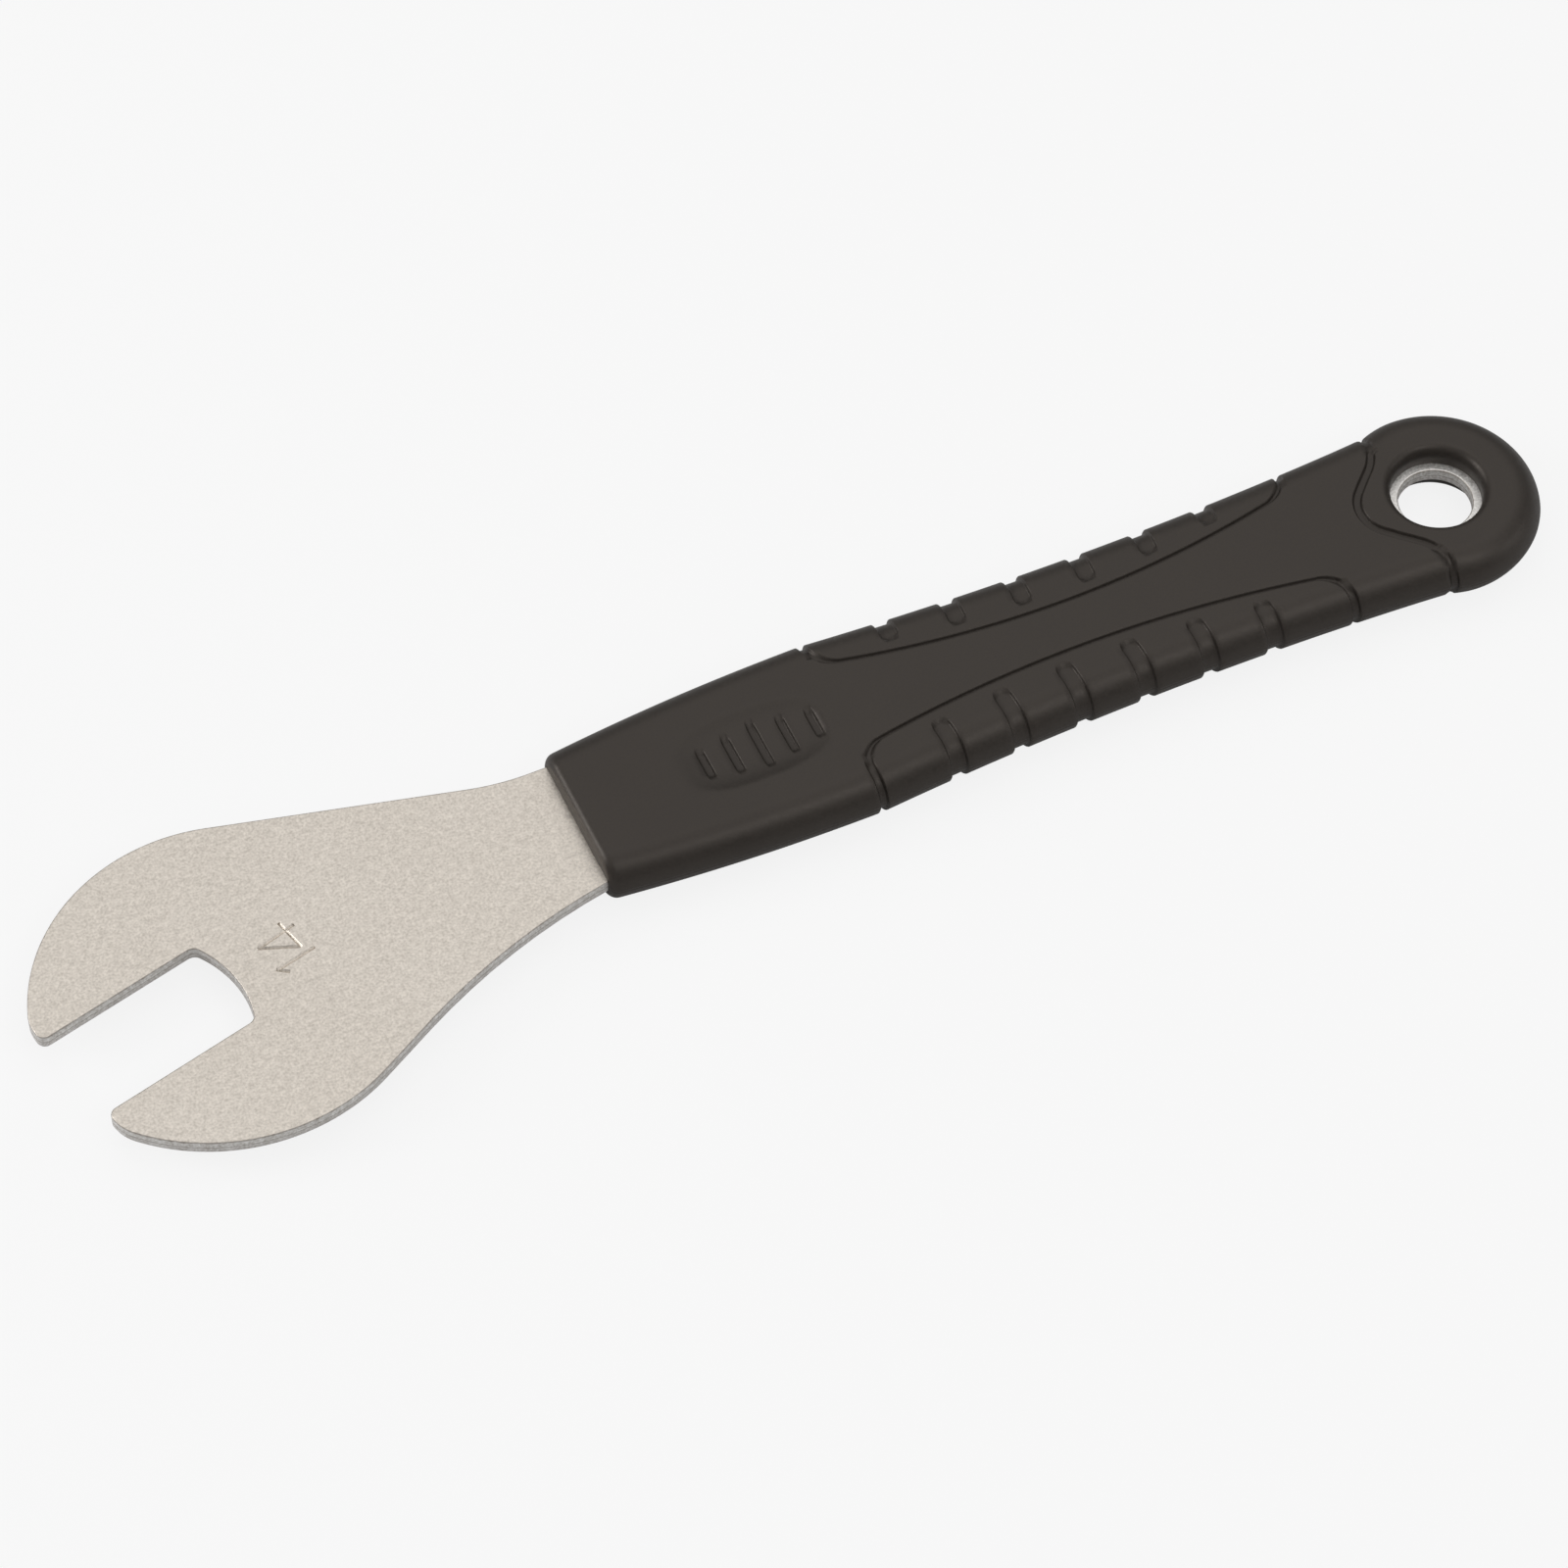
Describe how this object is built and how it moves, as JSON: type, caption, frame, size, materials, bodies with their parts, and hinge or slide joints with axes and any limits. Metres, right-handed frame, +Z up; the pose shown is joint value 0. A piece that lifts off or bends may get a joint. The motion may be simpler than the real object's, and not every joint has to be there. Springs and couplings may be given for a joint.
{
  "type": "cone wrench",
  "caption": "Flat open-ended cone wrench with a thin stamped blade, a tilted jaw and a moulded soft grip with a hang hole.",
  "frame": {"origin": "centre of the hang hole, halfway through the blade's thickness", "axes": "+X along the handle away from the jaw, +Y to the far side of the picture, +Z up, square to the blade"},
  "size_m": [0.2187, 0.0487, 0.0084],
  "materials": {
    "blade": "satin plated steel with a fine grain",
    "grip": "matte moulded soft rubber"
  },
  "bodies": {
    "root": {"blade": "blade", "grip": "grip"}
  },
  "joints": []
}
